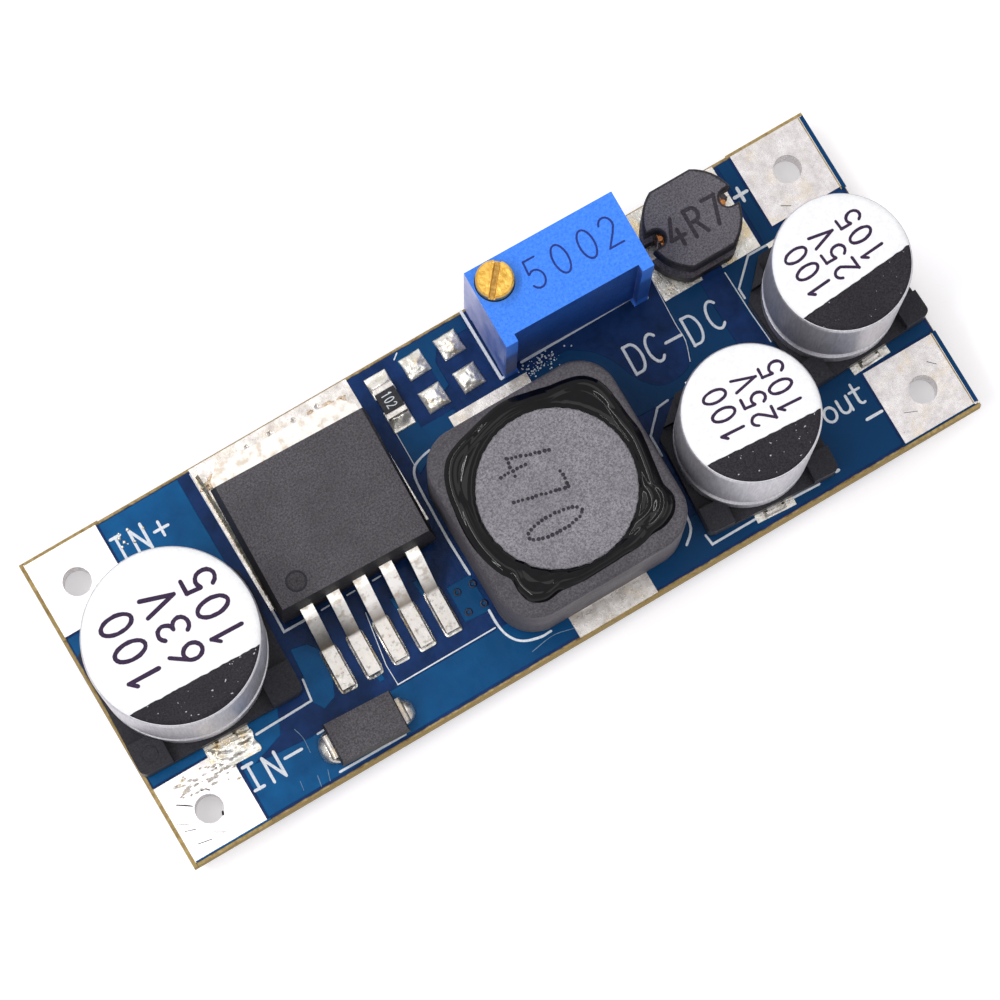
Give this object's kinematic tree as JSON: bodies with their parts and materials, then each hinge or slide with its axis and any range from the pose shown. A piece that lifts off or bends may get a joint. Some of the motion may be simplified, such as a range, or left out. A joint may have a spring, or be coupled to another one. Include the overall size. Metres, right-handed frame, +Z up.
{
  "type": "buck converter module",
  "caption": "Step-down converter board with a tabbed regulator, shielded power inductor, can capacitors, filter inductor and a multiturn trimmer.",
  "frame": {"origin": "middle of the four corner holes, on the board's underside", "axes": "+X along the board from the input end to the output end, +Y towards the long edge with the trimmer, +Z up from the underside through the component side"},
  "size_m": [0.0526, 0.0202, 0.0134],
  "materials": {
    "solder_mask": "glossy blue solder mask over glass-epoxy laminate",
    "tin": "tinned copper and solder, satin with a mottled flow",
    "lead_metal": "tin-plated copper alloy, satin",
    "mould_compound": "fine matte moulding compound",
    "silicon": "cut silicon",
    "can_aluminium": "satin drawn aluminium with a printed white top",
    "base_plastic": "black moulded plastic",
    "ferrite": "matte sintered ferrite",
    "black_glue": "glossy black epoxy glue",
    "enamelled_copper": "enamelled copper wire",
    "trimmer_blue": "moulded blue plastic",
    "potting_resin": "poured resin",
    "white_ceramic": "fired ceramic",
    "brass": "turned brass, satin",
    "seal_rubber": "moulded rubber",
    "nylon": "moulded nylon",
    "spring_metal": "spring bronze",
    "resistor_black": "glazed chip resistor"
  },
  "bodies": {
    "board": {"circuit_board": "solder_mask", "input_positive_terminal": "tin", "input_negative_terminal": "tin", "output_positive_terminal": "tin", "output_negative_terminal": "tin", "regulator_tab_pad": "tin", "regulator_tab": "lead_metal", "regulator_lead_1": "lead_metal", "regulator_lead_2": "lead_metal", "regulator_lead_4": "lead_metal", "regulator_lead_5": "lead_metal", "regulator_die": "silicon", "regulator_body": "mould_compound", "regulator_lead_solder": "tin", "power_inductor_drum": "ferrite", "power_inductor_winding": "enamelled_copper", "power_inductor_shield": "ferrite", "power_inductor_glue": "black_glue", "power_inductor_clips": "lead_metal", "power_inductor_solder": "tin", "filter_inductor_drum": "ferrite", "filter_inductor_winding": "enamelled_copper", "filter_inductor_terminals": "lead_metal", "filter_inductor_solder": "tin", "trimmer_housing": "trimmer_blue", "trimmer_potting": "potting_resin", "trimmer_element": "white_ceramic", "trimmer_pin_1": "lead_metal", "trimmer_pin_2": "lead_metal", "trimmer_pin_3": "lead_metal", "trimmer_pin_solder": "tin", "diode_body": "mould_compound", "diode_chip": "silicon", "diode_anode_terminal": "lead_metal", "diode_cathode_terminal": "lead_metal", "diode_solder": "tin", "resistor_body": "resistor_black", "resistor_end_caps": "lead_metal", "resistor_solder": "tin", "spare_solder_lands": "tin", "input_capacitor_can": "can_aluminium", "input_capacitor_base": "base_plastic", "input_capacitor_leads": "lead_metal", "input_capacitor_solder": "tin", "output_capacitor_1_can": "can_aluminium", "output_capacitor_1_base": "base_plastic", "output_capacitor_1_leads": "lead_metal", "output_capacitor_1_solder": "tin", "output_capacitor_2_can": "can_aluminium", "output_capacitor_2_base": "base_plastic", "output_capacitor_2_leads": "lead_metal", "output_capacitor_2_solder": "tin"},
    "adjusting_screw": {"trimmer_screw": "brass", "trimmer_seal": "seal_rubber"},
    "wiper_wheel": {"trimmer_wheel": "nylon", "trimmer_wiper": "spring_metal"}
  },
  "joints": [
    {"name": "trimmer_screw_turn", "type": "hinge", "parent": "board", "child": "adjusting_screw", "pos_m": [0.00467, 0.0088, 0.01235], "axis": [0, 0, 1], "range_deg": [-4500, 4500]},
    {"name": "trimmer_wheel_turn", "type": "hinge", "parent": "board", "child": "wiper_wheel", "pos_m": [0.008, 0.00759, 0.0068], "axis": [0.0175, 0.9998, 0], "range_deg": [-150, 150]}
  ],
  "couplings": [
    {"joint": "trimmer_wheel_turn", "follows": "trimmer_screw_turn", "ratio": 0.033333}
  ]
}
